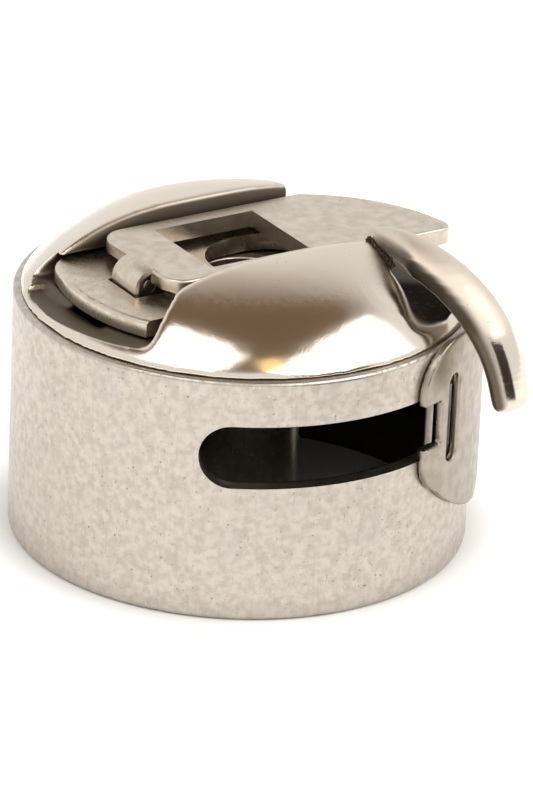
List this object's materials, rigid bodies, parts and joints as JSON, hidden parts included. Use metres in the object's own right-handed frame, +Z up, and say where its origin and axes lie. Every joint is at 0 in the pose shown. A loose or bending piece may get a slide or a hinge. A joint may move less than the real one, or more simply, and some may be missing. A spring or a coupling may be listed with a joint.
{
  "type": "bobbin case",
  "caption": "Round metal bobbin case for a front-loading sewing machine, with a hinged latch lever and locking slide, leaf tension spring, curved position finger and a slotted wall.",
  "frame": {"origin": "centre of the stud bore in the plane of the open rim", "axes": "+Z up the bore to the latch face, +X along the latch from its hinge to its thumb tab, +Y across the latch"},
  "size_m": [0.024, 0.0246, 0.017],
  "materials": {
    "nickel_plate": "satin nickel plate over turned steel, with fine pits",
    "polished_nickel": "polished nickel plate",
    "latch_steel": "tumbled nickel-plated sheet steel",
    "spring_steel": "rolled spring steel, nickel plated",
    "screw_steel": "machined steel"
  },
  "bodies": {
    "case": {"case_cup": "nickel_plate", "centre_tube": "nickel_plate", "crown": "polished_nickel", "position_finger": "polished_nickel", "tension_spring": "spring_steel", "clamp_screw": "screw_steel", "latch_spring": "spring_steel"},
    "slide": {"latch_slide": "latch_steel", "latch_pin": "latch_steel"},
    "lever": {"latch_lever": "latch_steel"},
    "tension_screw": {"tension_screw": "screw_steel"}
  },
  "joints": [
    {"name": "slide_travel", "type": "slide", "parent": "case", "child": "slide", "axis": [-1, 0, 0], "range_m": [0, 0.00113], "deforming": ["latch_spring"]},
    {"name": "lever_lift", "type": "hinge", "parent": "slide", "child": "lever", "pos_m": [-0.0063, 0, 0.0144], "axis": [0, -1, 0], "range_deg": [0, 50], "stiffness_Nm_per_rad": 0.001, "springref_deg": -66.46},
    {"name": "tension_turn", "type": "hinge", "parent": "case", "child": "tension_screw", "pos_m": [0.01, 0.00325, 0.0076], "axis": [0.9511, 0.309, 0], "range_deg": [-180, 180]}
  ],
  "couplings": [
    {"joint": "slide_travel", "follows": "lever_lift", "m_per_rad": 0.001288}
  ]
}
